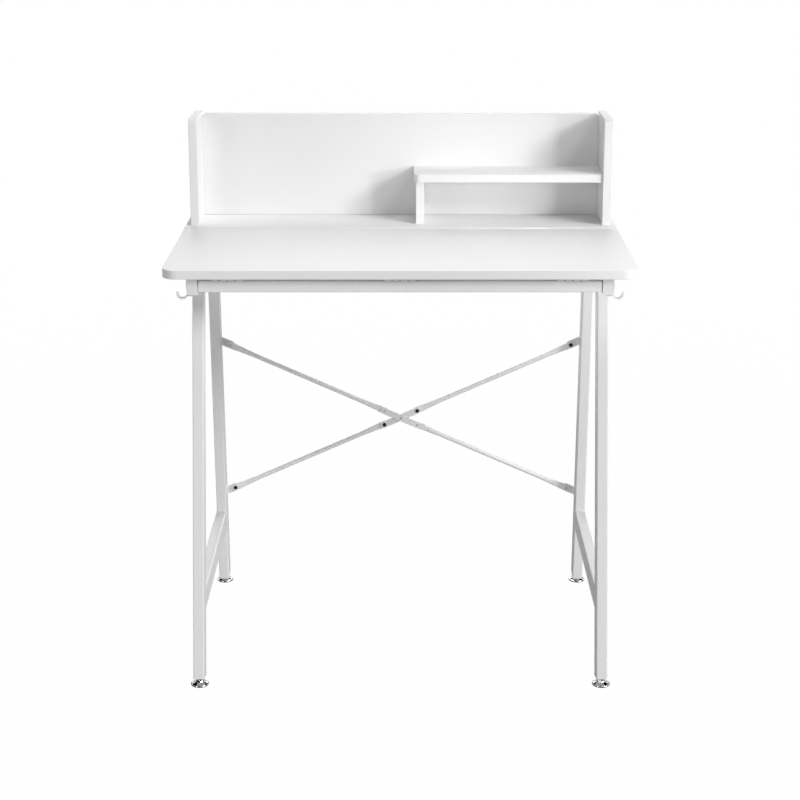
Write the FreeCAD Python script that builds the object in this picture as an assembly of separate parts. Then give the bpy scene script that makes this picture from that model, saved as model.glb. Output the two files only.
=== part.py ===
import FreeCAD, Part
import math
import os

# Writing desk with a tilting top, a low hutch and a splayed steel frame.
# Lengths in millimetres, angles in degrees, +Z up, the front of the desk faces -Y.
# While drawing, Y runs back from the front edge of the top and Z up from the floor;
# every piece is then moved by frame_shift so that the origin is under the middle.

# Overall sizes
desk_width = 850.0
desk_depth = 510.0
desk_height = 777.0
hutch_height = 210.9

# Boards
board = 16.0
fixed_board = 18.0
edge_round = 1.0
rest_gap = 0.4
rear_board_depth = 143.8
seam_gap = 2.4
front_corner_radius = 28.0
rear_corner_radius = 5.0

# Hutch
panel_setback = 20.8
panel_inset = 10.6
panel_corner_radius = 12.0
back_drop = 4.3
back_corner_radius = 9.0
shelf_recess = 5.0
shelf_clear_height = 84.7
shelf_width = 372.1
shelf_corner_radius = 11.0
divider_recess = 13.0
divider_inset = 3.8

# Side frames
frame_inset = 53.5
tube_width = 20.0
tube_depth = 40.0
tube_wall = 1.5
tube_round = 2.0
front_leg_top_y = 115.0
front_splay = 0.2274
rear_leg_setback = 146.5
rear_splay = 0.1028
leg_bottom = 14.5
side_rail_height = 31.0
side_rail_front_y = 13.0
side_rail_rear_inset = 12.0
stretcher_top = 170.0
stretcher_height = 40.0

# Cross rails
rail_size = 21.0
rail_top_gap = 6.0
front_rail_y = 15.0
rear_rail_inset = 50.0
end_plate = 1.5
end_gap = 1.5
boss_inset = 4.0

# Plugs and caps
plug_height = 20.0
plug_flange = 1.5
plug_play = 0.05
cap_flange = 2.0
front_cap_depth = 4.0
rear_cap_depth = 12.0

# Levelling feet
foot_radius = 16.5
foot_rim = 3.0
foot_cone_top = 6.5
foot_collar_radius = 8.5
foot_hex_across = 13.0
foot_hex_top = 11.5
stud_radius = 4.0
stud_top = 42.0
stud_clearance = 0.06

# Tilting hinges
tilt_max = 35.0
hinge_axis_y = 12.0
hinge_drop = 3.0
hinge_width = 57.0
hinge_end_distance = 117.5
hinge_leaf = 1.2
hinge_leaf_depth = 22.0
barrel_radius = 2.6
knuckles = 4
knuckle_gap = 0.9
barrel_clearance = 0.5
pin_radius = 1.2
pin_clearance = 0.06
pin_head_radius = 2.0
pin_head = 1.0

# Prop and notched racks
prop_arm_length = 170.0
prop_wire_radius = 2.5
prop_arm_inset = 36.5
prop_end_length = 28.0
prop_bend = 8.0
prop_bar_gap = 0.8
rack_thickness = 3.0
rack_height = 22.0
rack_margin = 9.0
rack_play = 0.3
notch_depth = 4.0
notch_play = 0.5
notch_angles = (tilt_max, 27.5, 20.0, 12.0)
saddle_width = 12.0
saddle_wall = 1.8
saddle_ear = 11.0
saddle_ear_height = 1.8
saddle_clearance = 0.08

# Cross brace between the rear legs
brace_centre = 368.5
brace_hole_inset = 27.5
brace_hole_rise = 159.5
brace_set = 6.0
strip_width = 13.0
strip = 2.5
arm_flat = 3.0
arm_radius = 4.5
arm_taper = 44.0
arm_end = 20.0
arm_tip = 8.0
strap_hole = 37.0
tab_tip = 9.0
tab_width = 16.0

# Side hooks
hook_width = 10.0
hook_strip = 2.8
hook_setback = 4.0
hook_hold = 13.0
hook_start_inset = 2.2
hook_neck_radius = 3.0
hook_radius = 8.6
hook_tip = 3.6
hook_screw_place = 2.6

# Fasteners
bolt_radius = 3.0
bolt_head_radius = 5.5
bolt_head = 2.0
bolt_grip = 5.0
screw_radius = 2.0
screw_head_radius = 4.0
screw_head = 2.0
small_screw_radius = 1.5
small_head_radius = 2.8
small_head = 1.1
small_screw_length = 9.0
rivet_radius = 2.2
hole_clearance = 0.1
thread_clearance = 0.05
board_bite = 10.0
board_screw_gap = 4.5
cap_radius = 6.0
cap_height = 1.0
cap_stem_radius = 2.5
cap_stem = 5.0
fit_gap = 0.3

# Shares of a length, and the turns of the hook
along_share = 0.9
hinge_screw_share = 0.64
hinge_spread_share = 0.3
saddle_place_share = 0.6
saddle_screw_share = 0.62
panel_screw_shares = (0.2, 0.7)
divider_screw_shares = (0.25, 0.75)
back_screw_shares = (-0.6, 0.0, 0.6)
back_cap_shares = (0.18, 0.82)
shelf_cap_share = 0.3
rack_screw_share = 0.4
hook_neck_turn = 65.0
hook_bowl_turn = 150.0

# Derived places
half_width = desk_width / 2
frame_x = half_width - frame_inset
side_rail_rear_y = desk_depth - side_rail_rear_inset
seam_y = desk_depth - rear_board_depth
panel_front_y = seam_y + panel_setback
rear_leg_top_y = side_rail_rear_y - rear_leg_setback
rear_rail_y = desk_depth - rear_rail_inset
hinge_spacing = half_width - hinge_end_distance
prop_arm_x = frame_x - prop_arm_inset
brace_hole_x = frame_x - brace_hole_inset
top_underside = desk_height - board
fixed_underside = top_underside - rest_gap
fixed_top = fixed_underside + fixed_board
overall_height = fixed_top + hutch_height
shelf_underside = fixed_top + shelf_clear_height
side_rail_top = fixed_underside
side_rail_bottom = side_rail_top - side_rail_height
hook_front_y = side_rail_front_y + hook_setback
rail_top = top_underside - rail_top_gap
rail_bottom = rail_top - rail_size
tube_in = frame_x - tube_width / 2
tube_out = frame_x + tube_width / 2
axis_z = top_underside - hinge_drop
panel_out = half_width - panel_inset
panel_in = panel_out - board
shelf_left_x = panel_in - shelf_width
divider_left_x = shelf_left_x + divider_inset
back_y = desk_depth - board
back_top = overall_height - back_drop
shelf_front = panel_front_y + shelf_recess
divider_front = panel_front_y + divider_recess
desktop_rear = seam_y - seam_gap / 2
rear_board_front = seam_y + seam_gap / 2
pivot_y = hinge_axis_y + prop_arm_length
foot_bar_y = hinge_axis_y + prop_arm_length * 2
front_run = tube_depth * math.sqrt(1 + front_splay ** 2)
rear_run = tube_depth * math.sqrt(1 + rear_splay ** 2)


def front_leg_y(z):
    return front_leg_top_y - front_splay * (desk_height - z)


def rear_leg_y(z):
    return rear_leg_top_y + rear_splay * (desk_height - z)


def leg_point(leg_y, run, splay, across, along):
    # A point of a leg seen from the side: across its depth, and along it from the middle of its foot end.
    lean_share = run / tube_depth
    y = leg_y(leg_bottom) + run / 2 + (across + along * splay) / lean_share
    return y, leg_bottom + (along - across * splay) / lean_share


front_foot_y = front_leg_y(0) + front_run / 2
rear_foot_y = rear_leg_y(0) + rear_run / 2
front_toe_y = leg_point(front_leg_y, front_run, front_splay, -tube_depth / 2, -plug_flange)[0]
front_most = min(front_foot_y - foot_radius, front_toe_y, 0)
rear_most = max(rear_foot_y + foot_radius, desk_depth)
frame_shift = -(front_most + rear_most) / 2

V = FreeCAD.Vector
X_AXIS = V(1, 0, 0)
Y_AXIS = V(0, 1, 0)
Z_AXIS = V(0, 0, 1)
ORIGIN = V(0, 0, 0)

os.makedirs("parts", exist_ok=True)
written = []


def save(name, *solids):
    flat = []
    for item in solids:
        flat.extend(item.Solids)
    shape = flat[0].copy() if len(flat) == 1 else Part.makeCompound([s.copy() for s in flat])
    shape.translate(V(0, frame_shift, 0))
    assert shape.isValid(), name
    shape.exportStep("parts/" + name + ".step")
    written.append(name)


def box(x0, x1, y0, y1, z0, z1):
    return Part.makeBox(x1 - x0, y1 - y0, z1 - z0, V(x0, y0, z0))


def rod(start, direction, radius, length):
    return Part.makeCylinder(radius, length, start, direction)


def mirrored(shape):
    return shape.mirror(ORIGIN, X_AXIS)


def prism_x(points, x0, x1):
    wire = Part.makePolygon([V(x0, y, z) for y, z in points + points[:1]])
    return Part.Face(wire).extrude(V(x1 - x0, 0, 0))


def round_edges(shape, radius, keep):
    edges = [e for e in shape.Edges if keep(e)]
    return shape.makeFillet(radius, edges)


def is_straight_along(axis):
    def test(edge):
        if len(edge.Vertexes) < 2:
            return False
        d = edge.Vertexes[1].Point - edge.Vertexes[0].Point
        return d.Length > 0 and abs(d.normalize().dot(axis)) > along_share
    return test


def soften(shape):
    return shape.makeFillet(edge_round, shape.Edges)


def cut(shape, *tools):
    for tool in tools:
        shape = shape.cut(tool)
    return shape


def headed(start, direction, head_radius, head, radius, length):
    # A cheese or button head on the near side of start, shank running along direction.
    back = V(direction.x, direction.y, direction.z).multiply(-head)
    top = rod(start + back, direction, head_radius, head)
    return top.fuse(rod(start, direction, radius, length)).removeSplitter()


def flat_head(start, direction, head_radius, head, radius, length):
    # A countersunk screw whose head face lies at start.
    cone = Part.makeCone(head_radius, radius, head, start, direction)
    return cone.fuse(rod(start, direction, radius, length)).removeSplitter()


# Boards of the top

board_blank = box(-half_width, half_width, 0, desktop_rear, top_underside, desk_height)


def corner_edges(shape, corners):
    found = []
    for edge in shape.Edges:
        if len(edge.Vertexes) < 2:
            continue
        a = edge.Vertexes[0].Point
        b = edge.Vertexes[1].Point
        upright = abs(a.x - b.x) < fit_gap and abs(a.y - b.y) < fit_gap
        if upright and any(abs(abs(a.x) - abs(x)) < fit_gap and abs(a.y - y) < fit_gap for x, y in corners):
            found.append(edge)
    return found


hinge_centres = (-hinge_spacing, 0.0, hinge_spacing)
screw_y = hinge_axis_y + hinge_leaf_depth * hinge_screw_share
screw_offset = hinge_width * hinge_spread_share
saddle_x = prop_arm_x - prop_end_length * saddle_place_share
saddle_screw_y = saddle_ear * saddle_screw_share + prop_wire_radius + saddle_wall

desktop = board_blank.makeFillet(front_corner_radius, corner_edges(board_blank, [(half_width, 0)]))
desktop = desktop.makeFillet(edge_round * 2, corner_edges(desktop, [(half_width, desktop_rear)]))
desktop = soften(desktop)

hinge_desktop_screws = []
for centre in hinge_centres:
    for side in (-1, 1):
        at = V(centre + side * screw_offset, screw_y, top_underside - hinge_leaf)
        hinge_desktop_screws.append(
            flat_head(at, Z_AXIS, small_head_radius, small_head, small_screw_radius, small_screw_length))
        desktop = desktop.cut(
            rod(at, Z_AXIS, small_screw_radius + thread_clearance, small_screw_length + fit_gap))

saddle_screws = []
for x in (-saddle_x, saddle_x):
    for side in (-1, 1):
        at = V(x, pivot_y + side * saddle_screw_y, top_underside - saddle_ear_height)
        saddle_screws.append(
            headed(at, Z_AXIS, small_head_radius, small_head, small_screw_radius, small_screw_length))
        desktop = desktop.cut(
            rod(at, Z_AXIS, small_screw_radius + thread_clearance, small_screw_length + fit_gap))

save("desktop_board", desktop)
save("hinge_desktop_screws", *hinge_desktop_screws)
save("prop_saddle_screws", *saddle_screws)

rear_board = box(-half_width, half_width, rear_board_front, desk_depth, fixed_underside, fixed_top)
rear_board = rear_board.makeFillet(
    edge_round * 2, corner_edges(rear_board, [(half_width, rear_board_front)]))
rear_board = rear_board.makeFillet(
    rear_corner_radius, corner_edges(rear_board, [(half_width, desk_depth)]))
rear_board = soften(rear_board)

# Screws up through the side rails into the rear board
last_screw_y = side_rail_rear_y - cap_flange - rear_cap_depth - board_screw_gap
first_screw_y = rear_leg_y(side_rail_bottom) + rear_run + screw_head_radius + board_screw_gap
rear_board_screws = []
rail_holes = []
for y in (first_screw_y, last_screw_y):
    start = V(frame_x, y, side_rail_bottom)
    length = side_rail_height + board_bite
    screw = headed(start, Z_AXIS, screw_head_radius, screw_head, screw_radius, length)
    rear_board_screws += [screw, mirrored(screw)]
    rail_holes.append(rod(start, Z_AXIS, screw_radius + hole_clearance, side_rail_height))
    bite = rod(start, Z_AXIS, screw_radius + thread_clearance, length + fit_gap)
    rear_board = cut(rear_board, bite, mirrored(bite))

# Hutch panels, back, divider and shelf

panel = box(panel_in, panel_out, panel_front_y, desk_depth, fixed_top, overall_height)
front_top = [e for e in panel.Edges
             if abs(e.CenterOfMass.y - panel_front_y) < fit_gap
             and abs(e.CenterOfMass.z - overall_height) < fit_gap]
panel = panel.makeFillet(panel_corner_radius, front_top)
panel = soften(panel)

back = box(-panel_in, panel_in, back_y, desk_depth, fixed_top, back_top)
back_corners = [e for e in back.Edges
                if abs(e.CenterOfMass.z - back_top) < fit_gap
                and abs(abs(e.CenterOfMass.x) - panel_in) < fit_gap]
back = back.makeFillet(back_corner_radius, back_corners)
back = soften(back)

divider_right_x = divider_left_x + board
divider = soften(box(divider_left_x, divider_right_x, divider_front, back_y, fixed_top, shelf_underside))

shelf_top = shelf_underside + board
shelf = box(shelf_left_x, panel_in, shelf_front, back_y, shelf_underside, shelf_top)
shelf = shelf.makeFillet(
    shelf_corner_radius, corner_edges(shelf, [(shelf_left_x, shelf_front)]))
shelf = soften(shelf)

base_screws = []


def base_screw(x, y):
    start = V(x, y, fixed_underside + screw_head)
    length = fixed_board - screw_head + board_bite
    return (headed(start, Z_AXIS, screw_head_radius, screw_head, screw_radius, length),
            rod(start, Z_AXIS, screw_radius + thread_clearance, length + fit_gap),
            rod(V(x, y, fixed_underside - fit_gap), Z_AXIS, screw_head_radius + hole_clearance,
                screw_head + fit_gap))


panel_depth = desk_depth - panel_front_y
divider_depth = back_y - divider_front
panel_mid = (panel_in + panel_out) / 2
divider_mid = divider_left_x + board / 2
back_mid = back_y + board / 2
base_places = [(panel_mid, panel_front_y + panel_depth * share) for share in panel_screw_shares]
base_places += [(-panel_mid, panel_front_y + panel_depth * share) for share in panel_screw_shares]
base_places += [(divider_mid, divider_front + divider_depth * share) for share in divider_screw_shares]
base_places += [(panel_in * share, back_mid) for share in back_screw_shares]
right_panel = panel
left_panel = mirrored(panel)
for place in base_places:
    screw, shank_hole, head_hole = base_screw(*place)
    base_screws.append(screw)
    rear_board = cut(rear_board, shank_hole, head_hole)
    right_panel = right_panel.cut(shank_hole)
    left_panel = left_panel.cut(shank_hole)
    divider = divider.cut(shank_hole)
    back = back.cut(shank_hole)

# Cover caps over the side screws that hold the back and the shelf
cover_caps = []
panel_height = overall_height - fixed_top
cap_places = [(back_mid, fixed_top + panel_height * share) for share in back_cap_shares]
shelf_caps = [(shelf_front + (back_y - shelf_front) * shelf_cap_share, shelf_underside + board / 2)]
for y, z in cap_places + shelf_caps:
    cap = headed(V(panel_out, y, z), V(-1, 0, 0), cap_radius, cap_height, cap_stem_radius, cap_stem)
    hole = rod(V(panel_out, y, z), V(-1, 0, 0), cap_stem_radius + thread_clearance, cap_stem + fit_gap)
    cover_caps.append(cap)
    right_panel = right_panel.cut(hole)
for y, z in cap_places:
    cap = headed(V(panel_out, y, z), V(-1, 0, 0), cap_radius, cap_height, cap_stem_radius, cap_stem)
    hole = rod(V(panel_out, y, z), V(-1, 0, 0), cap_stem_radius + thread_clearance, cap_stem + fit_gap)
    cover_caps.append(mirrored(cap))
    left_panel = left_panel.cut(mirrored(hole))

save("rear_board", rear_board)
save("rear_board_screws", *rear_board_screws)
save("hutch_right_panel", right_panel)
save("hutch_left_panel", left_panel)
save("hutch_back_panel", back)
save("hutch_divider", divider)
save("hutch_shelf", shelf)
save("hutch_base_screws", *base_screws)
save("hutch_cover_caps", *cover_caps)

# Side frame tubes


def hollow_leg(leg_y, run, splay):
    # A leg leans along Y by its splay; it meets the side rail level and is cut square at its foot.
    high = side_rail_bottom
    slope_wall = tube_wall * run / tube_depth
    skin = [leg_point(leg_y, run, splay, -tube_depth / 2, 0), leg_point(leg_y, run, splay, tube_depth / 2, 0),
            (leg_y(high) + run, high), (leg_y(high), high)]
    bore = [(leg_y(0) + slope_wall, 0), (leg_y(0) + run - slope_wall, 0),
            (leg_y(high) + run - slope_wall, high), (leg_y(high) + slope_wall, high)]
    tube = prism_x(skin, tube_in, tube_out)
    lean_axis = V(0, splay, 1).normalize()
    tube = round_edges(tube, tube_round, is_straight_along(lean_axis))
    return tube.cut(prism_x(bore, tube_in + tube_wall, tube_out - tube_wall))


front_leg = hollow_leg(front_leg_y, front_run, front_splay)
rear_leg = hollow_leg(rear_leg_y, rear_run, -rear_splay)


def leg_plug(leg_y, run, splay, foot_y):
    # A plug pressed in the foot of the leg, with an upright thread that keeps the levelling foot flat.
    half_flange = tube_depth / 2
    half_core = half_flange - tube_wall - plug_play
    side_play = tube_wall + plug_play
    core = prism_x([leg_point(leg_y, run, splay, -half_core, 0), leg_point(leg_y, run, splay, half_core, 0),
                    leg_point(leg_y, run, splay, half_core, plug_height),
                    leg_point(leg_y, run, splay, -half_core, plug_height)],
                   tube_in + side_play, tube_out - side_play)
    flange = prism_x([leg_point(leg_y, run, splay, -half_flange, -plug_flange),
                      leg_point(leg_y, run, splay, half_flange, -plug_flange),
                      leg_point(leg_y, run, splay, half_flange, 0),
                      leg_point(leg_y, run, splay, -half_flange, 0)],
                     tube_in, tube_out)
    flange = round_edges(flange, tube_round, is_straight_along(V(0, splay, 1).normalize()))
    stud_hole = rod(V(frame_x, foot_y, 0), Z_AXIS, stud_radius + stud_clearance, stud_top)
    return core.fuse(flange).removeSplitter().cut(stud_hole)


front_plug = leg_plug(front_leg_y, front_run, front_splay, front_foot_y)
rear_plug = leg_plug(rear_leg_y, rear_run, -rear_splay, rear_foot_y)

rail_tube = box(tube_in, tube_out, side_rail_front_y + cap_flange, side_rail_rear_y - cap_flange,
                side_rail_bottom, side_rail_top)
rail_tube = round_edges(rail_tube, tube_round, is_straight_along(Y_AXIS))
rail_tube = rail_tube.cut(box(tube_in + tube_wall, tube_out - tube_wall, side_rail_front_y, side_rail_rear_y,
                              side_rail_bottom + tube_wall, side_rail_top - tube_wall))

stretcher_low = stretcher_top - stretcher_height
stretcher_skin = [(front_leg_y(stretcher_low) + front_run, stretcher_low),
                  (rear_leg_y(stretcher_low), stretcher_low),
                  (rear_leg_y(stretcher_top), stretcher_top),
                  (front_leg_y(stretcher_top) + front_run, stretcher_top)]
stretcher = prism_x(stretcher_skin, tube_in, tube_out)
stretcher = round_edges(stretcher, tube_round, is_straight_along(Y_AXIS))
stretcher = stretcher.cut(box(tube_in + tube_wall, tube_out - tube_wall, front_most, rear_most,
                              stretcher_low + tube_wall, stretcher_top - tube_wall))

# End caps of the side rails
cap_inset = tube_wall + plug_play
front_cap = box(tube_in, tube_out, side_rail_front_y, side_rail_front_y + cap_flange,
                side_rail_bottom, side_rail_top)
front_cap = round_edges(front_cap, tube_round, is_straight_along(Y_AXIS))
front_cap = front_cap.fuse(box(tube_in + cap_inset, tube_out - cap_inset, side_rail_front_y + cap_flange,
                               side_rail_front_y + cap_flange + front_cap_depth,
                               side_rail_bottom + cap_inset, side_rail_top - cap_inset)).removeSplitter()
rear_cap = box(tube_in, tube_out, side_rail_rear_y - cap_flange, side_rail_rear_y,
               side_rail_bottom, side_rail_top)
rear_cap = round_edges(rear_cap, tube_round, is_straight_along(Y_AXIS))
rear_cap = rear_cap.fuse(box(tube_in + cap_inset, tube_out - cap_inset,
                             side_rail_rear_y - cap_flange - rear_cap_depth,
                             side_rail_rear_y - cap_flange,
                             side_rail_bottom + cap_inset, side_rail_top - cap_inset)).removeSplitter()

# Cross rails with end plates, bolted between the side rails


def rail_block(x0, x1, y, inset):
    return box(x0, x1, y + inset, y + rail_size - inset, rail_bottom + inset, rail_top - inset)


def cross_rail(y):
    # A tube closed by end plates; a smaller boss on each plate meets the side rail and leaves a narrow groove.
    tube_end = tube_in - end_gap
    tube = round_edges(rail_block(-tube_end, tube_end, y, 0), tube_round, is_straight_along(X_AXIS))
    tube = tube.cut(rail_block(-tube_end + end_plate, tube_end - end_plate, y, tube_wall))
    boss = rail_block(tube_end, tube_in, y, boss_inset)
    return tube.fuse(boss).fuse(mirrored(boss)).removeSplitter()


front_rail = cross_rail(front_rail_y)
rear_rail = cross_rail(rear_rail_y)
frame_bolts = []
for y in (front_rail_y + rail_size / 2, rear_rail_y + rail_size / 2):
    start = V(tube_out, y, rail_bottom + rail_size / 2)
    inward = V(-1, 0, 0)
    length = tube_width + end_gap + end_plate + bolt_grip
    bolt = headed(start, inward, bolt_head_radius, bolt_head, bolt_radius, length)
    frame_bolts += [bolt, mirrored(bolt)]
    rail_holes.append(rod(start, inward, bolt_radius + hole_clearance, tube_width))
    thread = rod(start, inward, bolt_radius + thread_clearance, length)
    front_rail = cut(front_rail, thread, mirrored(thread))
    rear_rail = cut(rear_rail, thread, mirrored(thread))

# Hinges of the tilting top

knuckle = hinge_width / knuckles


def hinge_leaf_part(centre, own, z_low, toward):
    left = centre - hinge_width / 2
    plate_front = hinge_axis_y + barrel_radius + barrel_clearance
    leaf = box(left, left + hinge_width, plate_front, hinge_axis_y + hinge_leaf_depth,
               z_low, z_low + hinge_leaf)
    for index in own:
        x0 = left + index * knuckle + knuckle_gap / 2
        x1 = left + (index + 1) * knuckle - knuckle_gap / 2
        leaf = leaf.fuse(box(x0, x1, hinge_axis_y, plate_front, z_low, z_low + hinge_leaf))
        leaf = leaf.fuse(rod(V(x0, hinge_axis_y, axis_z), X_AXIS, barrel_radius, x1 - x0))
    leaf = leaf.removeSplitter()
    bore = rod(V(left, hinge_axis_y, axis_z), X_AXIS, pin_radius + pin_clearance, hinge_width)
    leaf = leaf.cut(bore)
    face = z_low if toward.z > 0 else z_low + hinge_leaf
    for side in (-1, 1):
        at = V(centre + side * screw_offset, screw_y, face)
        sink = Part.makeCone(small_head_radius + hole_clearance, small_screw_radius + hole_clearance,
                             small_head, at, toward)
        leaf = leaf.cut(sink).cut(rod(at, toward, small_screw_radius + hole_clearance, hinge_leaf))
    return leaf


own_rail = range(0, knuckles, 2)
own_top = range(1, knuckles, 2)
hinge_names = ("left", "centre", "right")
hinge_pins = []
hinge_rail_screws = []
for name, centre in zip(hinge_names, hinge_centres):
    save("hinge_rail_leaf_" + name, hinge_leaf_part(centre, own_rail, rail_top, V(0, 0, -1)))
    save("hinge_desktop_leaf_" + name,
         hinge_leaf_part(centre, own_top, top_underside - hinge_leaf, Z_AXIS))
    left = centre - hinge_width / 2
    pin = rod(V(left + knuckle_gap / 2, hinge_axis_y, axis_z), X_AXIS, pin_radius, hinge_width - knuckle_gap)
    pin = pin.fuse(rod(V(left + knuckle_gap / 2 - pin_head, hinge_axis_y, axis_z), X_AXIS,
                       pin_head_radius, pin_head)).removeSplitter()
    hinge_pins.append(pin)
    for side in (-1, 1):
        at = V(centre + side * screw_offset, screw_y, rail_top + hinge_leaf)
        hinge_rail_screws.append(flat_head(at, V(0, 0, -1), small_head_radius, small_head,
                                           small_screw_radius, small_screw_length))
        front_rail = front_rail.cut(rod(at, V(0, 0, -1), small_screw_radius + thread_clearance,
                                        small_screw_length + fit_gap))
save("hinge_pins", *hinge_pins)
save("hinge_rail_screws", *hinge_rail_screws)
save("front_rail", front_rail)
save("rear_rail", rear_rail)
save("frame_bolts", *frame_bolts)

# Wire prop: two bent arms on a foot bar, which swings under the top and stands in the racks

foot_bar_end = tube_in - prop_bar_gap
bend_start = V(prop_arm_x - prop_bend, pivot_y, axis_z)
bend_centre = V(prop_arm_x - prop_bend, pivot_y + prop_bend, axis_z)
turn = rod(V(prop_arm_x - prop_end_length, pivot_y, axis_z), X_AXIS, prop_wire_radius,
           prop_end_length - prop_bend)
wire_round = Part.Face(Part.Wire(Part.makeCircle(prop_wire_radius, bend_start, X_AXIS)))
elbow = wire_round.revolve(bend_centre, Z_AXIS, 90)
arm = rod(V(prop_arm_x, pivot_y + prop_bend, axis_z), Y_AXIS, prop_wire_radius,
          foot_bar_y - pivot_y - prop_bend)
bar = rod(V(-foot_bar_end, foot_bar_y, axis_z), X_AXIS, prop_wire_radius, foot_bar_end * 2)
half_prop = turn.fuse(elbow).fuse(arm)
prop = bar.fuse(half_prop).fuse(mirrored(half_prop)).removeSplitter()
save("prop", prop)

# Saddles that hold the turned ends of the prop to the top
saddle_low = axis_z - prop_wire_radius - saddle_wall
saddle_reach = prop_wire_radius + saddle_wall
saddle = box(saddle_x - saddle_width / 2, saddle_x + saddle_width / 2,
             pivot_y - saddle_reach, pivot_y + saddle_reach, saddle_low, top_underside)
saddle = round_edges(saddle, saddle_wall, lambda e: is_straight_along(X_AXIS)(e)
                     and abs(e.CenterOfMass.z - saddle_low) < fit_gap)
saddle = saddle.fuse(box(saddle_x - saddle_width / 2, saddle_x + saddle_width / 2,
                         pivot_y - saddle_reach - saddle_ear, pivot_y + saddle_reach + saddle_ear,
                         top_underside - saddle_ear_height, top_underside)).removeSplitter()
saddle = saddle.cut(rod(V(saddle_x - saddle_width, pivot_y, axis_z), X_AXIS,
                        prop_wire_radius + saddle_clearance, saddle_width * 2))
for side in (-1, 1):
    saddle = saddle.cut(rod(V(saddle_x, pivot_y + side * saddle_screw_y, saddle_low), Z_AXIS,
                            small_screw_radius + hole_clearance, top_underside - saddle_low))
save("prop_saddle_right", saddle)
save("prop_saddle_left", mirrored(saddle))

# Notched racks on the inner faces of the side rails
rack_top = axis_z - prop_wire_radius - rack_play
rack_low = rack_top - rack_height
notch_half = prop_wire_radius + notch_play
foot_places = [hinge_axis_y + prop_arm_length * 2 * math.cos(math.radians(a)) for a in notch_angles]
rack_front = foot_places[0] - notch_half - rack_margin
rack_rear = foot_bar_y + notch_half
outline = [(rack_rear, rack_low), (rack_front, rack_low), (rack_front, rack_top)]
for y in foot_places:
    outline += [(y - notch_half - notch_depth / 2, rack_top), (y - notch_half, rack_top - notch_depth),
                (y + notch_half, rack_top - notch_depth), (y + notch_half, rack_top)]
outline += [(rack_rear, rack_top)]
rack = prism_x(outline, tube_in - rack_thickness, tube_in)
rack_screws = []
for y in (rack_front + rack_margin, rack_rear - rack_margin):
    at = V(tube_in - rack_thickness, y, rack_low + rack_height * rack_screw_share)
    length = rack_thickness + tube_wall + bolt_grip
    screw = headed(at, X_AXIS, small_head_radius, small_head, small_screw_radius, length)
    rack_screws += [screw, mirrored(screw)]
    rack = rack.cut(rod(at, X_AXIS, small_screw_radius + hole_clearance, rack_thickness))
    rail_holes.append(rod(at, X_AXIS, small_screw_radius + thread_clearance, length))
save("rack_right", rack)
save("rack_left", mirrored(rack))
save("rack_screws", *rack_screws)

# Side hooks: a strip screwed under the front end of each side rail, bent down and round into a bowl

strip_top = side_rail_bottom
strip_mid = strip_top - hook_strip / 2
neck_x = tube_out - hook_start_inset
neck_angle = math.radians(hook_neck_turn)
neck_centre = V(neck_x, hook_front_y, strip_mid - hook_neck_radius)
bowl_start = neck_centre + V(math.sin(neck_angle), 0, math.cos(neck_angle)) * hook_neck_radius
bowl_centre = bowl_start + V(math.sin(neck_angle), 0, math.cos(neck_angle)) * hook_radius


def strip_end(at, turn):
    # The strip's cross-section at a point of its middle line, turned about Y with the line.
    low, high = -hook_strip / 2, hook_strip / 2
    corners = [V(0, 0, low), V(0, hook_width, low), V(0, hook_width, high), V(0, 0, high), V(0, 0, low)]
    face = Part.Face(Part.makePolygon(corners))
    face.rotate(ORIGIN, Y_AXIS, turn)
    face.translate(at)
    return face


hook_plate = box(tube_out - hook_hold, neck_x, hook_front_y, hook_front_y + hook_width,
                 strip_top - hook_strip, strip_top)
hook_neck = strip_end(V(neck_x, hook_front_y, strip_mid), 0).revolve(neck_centre, Y_AXIS, hook_neck_turn)
hook_bowl = strip_end(bowl_start, hook_neck_turn).revolve(bowl_centre, Y_AXIS, -hook_bowl_turn)
rise_angle = math.radians(hook_bowl_turn - hook_neck_turn)
rise = V(math.cos(rise_angle), 0, math.sin(rise_angle))
bowl_end = bowl_centre + V(math.sin(rise_angle), 0, -math.cos(rise_angle)) * hook_radius
hook_lip = strip_end(bowl_end, hook_neck_turn - hook_bowl_turn).extrude(rise * hook_tip)
hook = hook_plate.fuse(hook_neck).fuse(hook_bowl).fuse(hook_lip).removeSplitter()
hook_screw_at = V(frame_x + hook_screw_place, hook_front_y + hook_width / 2, strip_top - hook_strip)
hook_screw = headed(hook_screw_at, Z_AXIS, small_head_radius, small_head, small_screw_radius,
                    hook_strip + tube_wall + bolt_grip)
hook = hook.cut(rod(hook_screw_at, Z_AXIS, small_screw_radius + hole_clearance, hook_strip))
rail_holes.append(rod(hook_screw_at, Z_AXIS, small_screw_radius + thread_clearance,
                      hook_strip + tube_wall + bolt_grip))
save("hook_right", hook)
save("hook_left", mirrored(hook))
save("hook_screws", hook_screw, mirrored(hook_screw))

for hole in rail_holes:
    rail_tube = rail_tube.cut(hole)
save("side_rail_right", rail_tube)
save("side_rail_left", mirrored(rail_tube))
save("side_rail_front_cap_right", front_cap)
save("side_rail_front_cap_left", mirrored(front_cap))
save("side_rail_rear_cap_right", rear_cap)
save("side_rail_rear_cap_left", mirrored(rear_cap))
save("front_leg_right", front_leg)
save("front_leg_left", mirrored(front_leg))
save("stretcher_right", stretcher)
save("stretcher_left", mirrored(stretcher))
save("leg_plug_front_right", front_plug)
save("leg_plug_front_left", mirrored(front_plug))
save("leg_plug_rear_right", rear_plug)
save("leg_plug_rear_left", mirrored(rear_plug))

# Cross brace, drawn flat with its centre at the origin, then leaned with the rear legs

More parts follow.
